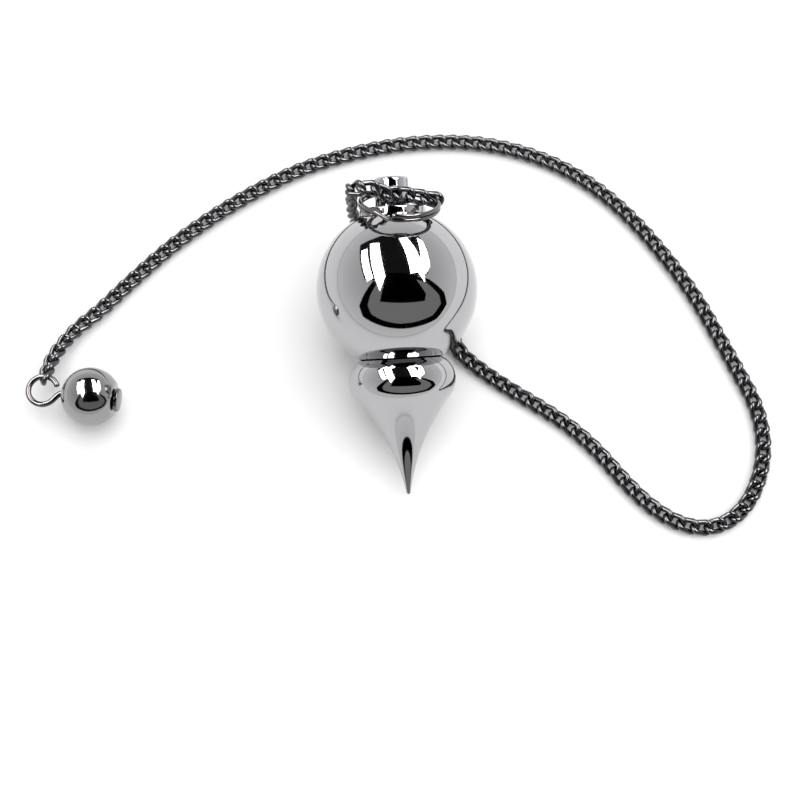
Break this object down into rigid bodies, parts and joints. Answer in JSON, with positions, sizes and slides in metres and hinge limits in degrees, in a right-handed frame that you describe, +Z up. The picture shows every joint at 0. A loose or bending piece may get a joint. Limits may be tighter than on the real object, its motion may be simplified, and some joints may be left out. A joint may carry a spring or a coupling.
{
  "type": "plumb bob on a chain",
  "caption": "Small plumb bob or pendulum: a polished ball with a turned point, a split ring through its stub, and a curb chain that ends in a small ball.",
  "frame": {"origin": "middle of the layout on the table: z = 0 is the table that the bob and its chain lie on", "axes": "+X across the layout, +Y from the point towards the stub, +Z up from the table"},
  "size_m": [0.094, 0.0566, 0.0209],
  "materials": {
    "polished_plate": "mirror, dark nickel plate",
    "wire_plate": "bright, dark nickel plate on wire",
    "chain_plate": "bright, dark nickel plate on small links"
  },
  "bodies": {
    "top_cap": {"top_cap": "polished_plate"},
    "bob_ball": {"bob_ball": "polished_plate"},
    "point": {"point": "polished_plate"},
    "split_ring": {"split_ring": "wire_plate"},
    "chain_01": {"chain_01": "chain_plate"},
    "chain_02": {"chain_02": "chain_plate"},
    "chain_03": {"chain_03": "chain_plate"},
    "chain_04": {"chain_04": "chain_plate"},
    "chain_05": {"chain_05": "chain_plate"},
    "chain_06": {"chain_06": "chain_plate"},
    "chain_07": {"chain_07": "chain_plate"},
    "chain_08": {"chain_08": "chain_plate"},
    "chain_09": {"chain_09": "chain_plate"},
    "chain_10": {"chain_10": "chain_plate"},
    "chain_11": {"chain_11": "chain_plate"},
    "chain_12": {"chain_12": "chain_plate"},
    "chain_13": {"chain_13": "chain_plate"},
    "chain_14": {"chain_14": "chain_plate"},
    "chain_15": {"chain_15": "chain_plate"},
    "chain_16": {"chain_16": "chain_plate"},
    "chain_17": {"chain_17": "chain_plate"},
    "chain_18": {"chain_18": "chain_plate"},
    "chain_19": {"chain_19": "chain_plate"},
    "chain_20": {"chain_20": "chain_plate"},
    "chain_21": {"chain_21": "chain_plate"},
    "chain_22": {"chain_22": "chain_plate"},
    "chain_23": {"chain_23": "chain_plate"},
    "chain_24": {"chain_24": "chain_plate"},
    "chain_25": {"chain_25": "chain_plate"},
    "chain_26": {"chain_26": "chain_plate"},
    "chain_27": {"chain_27": "chain_plate"},
    "chain_28": {"chain_28": "chain_plate"},
    "chain_29": {"chain_29": "chain_plate"},
    "chain_30": {"chain_30": "chain_plate"},
    "chain_31": {"chain_31": "chain_plate"},
    "chain_32": {"chain_32": "chain_plate"},
    "chain_33": {"chain_33": "chain_plate"},
    "chain_34": {"chain_34": "chain_plate"},
    "chain_35": {"chain_35": "chain_plate"},
    "chain_36": {"chain_36": "chain_plate"},
    "chain_37": {"chain_37": "chain_plate"},
    "chain_38": {"chain_38": "chain_plate"},
    "chain_39": {"chain_39": "chain_plate"},
    "chain_40": {"chain_40": "chain_plate"},
    "chain_41": {"chain_41": "chain_plate"},
    "chain_42": {"chain_42": "chain_plate"},
    "chain_43": {"chain_43": "chain_plate"},
    "chain_44": {"chain_44": "chain_plate"},
    "eye_pin": {"eye_pin": "wire_plate"},
    "end_ball": {"end_ball": "polished_plate"}
  },
  "joints": [
    {"name": "ball_turn", "type": "hinge", "parent": "top_cap", "child": "bob_ball", "pos_m": [0.00051, 0.00326, 0.01], "axis": [0, 0.9527, 0.3039], "range_deg": [0, 720]},
    {"name": "point_draw", "type": "slide", "parent": "bob_ball", "child": "point", "axis": [0, -0.9527, -0.3039], "range_m": [0, 0.0055]},
    {"name": "ring_swing", "type": "hinge", "parent": "top_cap", "child": "split_ring", "pos_m": [0.00051, 0.01481, 0.01368], "axis": [0.9816, 0.058, -0.1818], "range_deg": [-3, 0]},
    {"name": "swing_01", "type": "hinge", "parent": "split_ring", "child": "chain_01", "pos_m": [0.00621, 0.01247, 0.01547], "axis": [0.1385, -0.1727, 0.9752], "range_deg": [-4, 0]},
    {"name": "swing_02", "type": "hinge", "parent": "chain_01", "child": "chain_02", "pos_m": [0.00106, 0.01325, 0.01639], "axis": [-0.3986, 0.2128, -0.8921], "range_deg": [0, 4]},
    {"name": "swing_03", "type": "hinge", "parent": "chain_02", "child": "chain_03", "pos_m": [-0.00321, 0.01337, 0.01853], "axis": [-0.2861, -0.0401, 0.9574], "range_deg": [-14, 5]},
    {"name": "swing_04", "type": "hinge", "parent": "chain_03", "child": "chain_04", "pos_m": [-0.00436, 0.01368, 0.01398], "axis": [0.9999, -0.0096, 0.003], "range_deg": [-2, 19]},
    {"name": "swing_05", "type": "hinge", "parent": "chain_04", "child": "chain_05", "pos_m": [-0.0043, 0.01362, 0.00873], "axis": [-0.9965, 0.0002, -0.0839], "range_deg": [-19, 3]},
    {"name": "swing_06", "type": "hinge", "parent": "chain_05", "child": "chain_06", "pos_m": [-0.00212, 0.01316, 0.00431], "axis": [0.8578, 0.0129, 0.5138], "range_deg": [-2, 13]},
    {"name": "swing_07", "type": "hinge", "parent": "chain_06", "child": "chain_07", "pos_m": [0.00115, 0.01274, 0.00083], "axis": [0, 0, 1], "range_deg": [-6, 19]},
    {"name": "swing_08", "type": "hinge", "parent": "chain_07", "child": "chain_08", "pos_m": [0.00577, 0.01042, 0.00071], "axis": [-0.7412, -0.6713, 0], "range_deg": [0, 6]},
    {"name": "swing_09", "type": "hinge", "parent": "chain_08", "child": "chain_09", "pos_m": [0.00773, 0.00561, 0.00071], "axis": [0, 0, 1], "range_deg": [-15, 19]},
    {"name": "swing_10", "type": "hinge", "parent": "chain_09", "child": "chain_10", "pos_m": [0.00743, 0.00034, 0.00071], "axis": [0, 0, -1], "range_deg": [-12, 19]},
    {"name": "swing_11", "type": "hinge", "parent": "chain_10", "child": "chain_11", "pos_m": [0.00982, -0.00418, 0.00071], "axis": [0, 0, 1], "range_deg": [-19, 19]},
    {"name": "swing_12", "type": "hinge", "parent": "chain_11", "child": "chain_12", "pos_m": [0.01389, -0.00755, 0.00071], "axis": [0, 0, -1], "range_deg": [-19, 19]},
    {"name": "swing_13", "type": "hinge", "parent": "chain_12", "child": "chain_13", "pos_m": [0.0182, -0.01063, 0.00071], "axis": [-0.5921, -0.8058, 0], "range_deg": [0, 11]},
    {"name": "swing_14", "type": "hinge", "parent": "chain_13", "child": "chain_14", "pos_m": [0.02228, -0.01398, 0.00071], "axis": [0, 0, -1], "range_deg": [-19, 19]},
    {"name": "swing_15", "type": "hinge", "parent": "chain_14", "child": "chain_15", "pos_m": [0.02577, -0.01795, 0.00071], "axis": [0, 0, 1], "range_deg": [-19, 19]},
    {"name": "swing_16", "type": "hinge", "parent": "chain_15", "child": "chain_16", "pos_m": [0.02897, -0.02216, 0.00071], "axis": [0, 0, -1], "range_deg": [-19, 19]},
    {"name": "swing_17", "type": "hinge", "parent": "chain_16", "child": "chain_17", "pos_m": [0.03282, -0.02576, 0.00071], "axis": [0, 0, 1], "range_deg": [-19, 17]},
    {"name": "swing_18", "type": "hinge", "parent": "chain_17", "child": "chain_18", "pos_m": [0.03778, -0.02734, 0.00071], "axis": [0.0484, -0.9988, 0], "range_deg": [0, 11]},
    {"name": "swing_19", "type": "hinge", "parent": "chain_18", "child": "chain_19", "pos_m": [0.04244, -0.02512, 0.00071], "axis": [0, 0, 1], "range_deg": [-19, 16]},
    {"name": "swing_20", "type": "hinge", "parent": "chain_19", "child": "chain_20", "pos_m": [0.04516, -0.02063, 0.00071], "axis": [0, 0, -1], "range_deg": [-15, 19]},
    {"name": "swing_21", "type": "hinge", "parent": "chain_20", "child": "chain_21", "pos_m": [0.04603, -0.01545, 0.00071], "axis": [0, 0, 1], "range_deg": [-19, 15]},
    {"name": "swing_22", "type": "hinge", "parent": "chain_21", "child": "chain_22", "pos_m": [0.0451, -0.01026, 0.00071], "axis": [0, 0, -1], "range_deg": [-15, 19]},
    {"name": "swing_23", "type": "hinge", "parent": "chain_22", "child": "chain_23", "pos_m": [0.04314, -0.00535, 0.00071], "axis": [0.9274, 0.374, 0], "range_deg": [0, 11]},
    {"name": "swing_24", "type": "hinge", "parent": "chain_23", "child": "chain_24", "pos_m": [0.04113, -0.00045, 0.00071], "axis": [0, 0, -1], "range_deg": [-17, 19]},
    {"name": "swing_25", "type": "hinge", "parent": "chain_24", "child": "chain_25", "pos_m": [0.03895, 0.00436, 0.00071], "axis": [0, 0, 1], "range_deg": [-19, 17]},
    {"name": "swing_26", "type": "hinge", "parent": "chain_25", "child": "chain_26", "pos_m": [0.0363, 0.00893, 0.00071], "axis": [0, 0, -1], "range_deg": [-18, 19]},
    {"name": "swing_27", "type": "hinge", "parent": "chain_26", "child": "chain_27", "pos_m": [0.03335, 0.01333, 0.00071], "axis": [0, 0, 1], "range_deg": [-19, 19]},
    {"name": "swing_28", "type": "hinge", "parent": "chain_27", "child": "chain_28", "pos_m": [0.02998, 0.0174, 0.00071], "axis": [0.7276, 0.686, 0], "range_deg": [0, 11]},
    {"name": "swing_29", "type": "hinge", "parent": "chain_28", "child": "chain_29", "pos_m": [0.02605, 0.02093, 0.00071], "axis": [0, 0, 1], "range_deg": [-19, 19]},
    {"name": "swing_30", "type": "hinge", "parent": "chain_29", "child": "chain_30", "pos_m": [0.02159, 0.02375, 0.00071], "axis": [0, 0, -1], "range_deg": [-19, 19]},
    {"name": "swing_31", "type": "hinge", "parent": "chain_30", "child": "chain_31", "pos_m": [0.0167, 0.02576, 0.00071], "axis": [0, 0, 1], "range_deg": [-19, 19]},
    {"name": "swing_32", "type": "hinge", "parent": "chain_31", "child": "chain_32", "pos_m": [0.01154, 0.02692, 0.00071], "axis": [0, 0, -1], "range_deg": [-19, 19]},
    {"name": "swing_33", "type": "hinge", "parent": "chain_32", "child": "chain_33", "pos_m": [0.00627, 0.0273, 0.00071], "axis": [0.012, 0.9999, 0], "range_deg": [0, 11]},
    {"name": "swing_34", "type": "hinge", "parent": "chain_33", "child": "chain_34", "pos_m": [0.00099, 0.02703, 0.00071], "axis": [0, 0, -1], "range_deg": [-19, 19]},
    {"name": "swing_35", "type": "hinge", "parent": "chain_34", "child": "chain_35", "pos_m": [-0.00423, 0.02621, 0.00071], "axis": [0, 0, 1], "range_deg": [-19, 19]},
    {"name": "swing_36", "type": "hinge", "parent": "chain_35", "child": "chain_36", "pos_m": [-0.00936, 0.02492, 0.00071], "axis": [0, 0, -1], "range_deg": [-19, 19]},
    {"name": "swing_37", "type": "hinge", "parent": "chain_36", "child": "chain_37", "pos_m": [-0.01429, 0.02301, 0.00071], "axis": [0, 0, 1], "range_deg": [-19, 19]},
    {"name": "swing_38", "type": "hinge", "parent": "chain_37", "child": "chain_38", "pos_m": [-0.01901, 0.02062, 0.00071], "axis": [-0.4811, 0.8767, 0], "range_deg": [0, 11]},
    {"name": "swing_39", "type": "hinge", "parent": "chain_38", "child": "chain_39", "pos_m": [-0.02356, 0.01793, 0.00071], "axis": [0, 0, 1], "range_deg": [-19, 19]},
    {"name": "swing_40", "type": "hinge", "parent": "chain_39", "child": "chain_40", "pos_m": [-0.02791, 0.01492, 0.00071], "axis": [0, 0, -1], "range_deg": [-19, 19]},
    {"name": "swing_41", "type": "hinge", "parent": "chain_40", "child": "chain_41", "pos_m": [-0.03199, 0.01155, 0.00069], "axis": [0, 0, 1], "range_deg": [-19, 19]},
    {"name": "swing_42", "type": "hinge", "parent": "chain_41", "child": "chain_42", "pos_m": [-0.03588, 0.00798, 0.00079], "axis": [0, 0, -1], "range_deg": [-19, 19]},
    {"name": "swing_43", "type": "hinge", "parent": "chain_42", "child": "chain_43", "pos_m": [-0.03987, 0.00452, 0.00087], "axis": [0.1368, -0.1877, -0.9727], "range_deg": [-18, 19]},
    {"name": "swing_44", "type": "hinge", "parent": "chain_43", "child": "chain_44", "pos_m": [-0.0432, 0.00064, 0.00183], "axis": [-0.1973, 0.4495, 0.8712], "range_deg": [-19, 19]},
    {"name": "eye_swing", "type": "hinge", "parent": "chain_44", "child": "eye_pin", "pos_m": [-0.04464, -0.00404, 0.00371], "axis": [0, 0, 1], "range_deg": [-29, 35]},
    {"name": "end_ball_turn", "type": "hinge", "parent": "eye_pin", "child": "end_ball", "pos_m": [-0.03879, -0.00654, 0.0037], "axis": [0.9816, -0.1908, 0], "continuous": true}
  ]
}
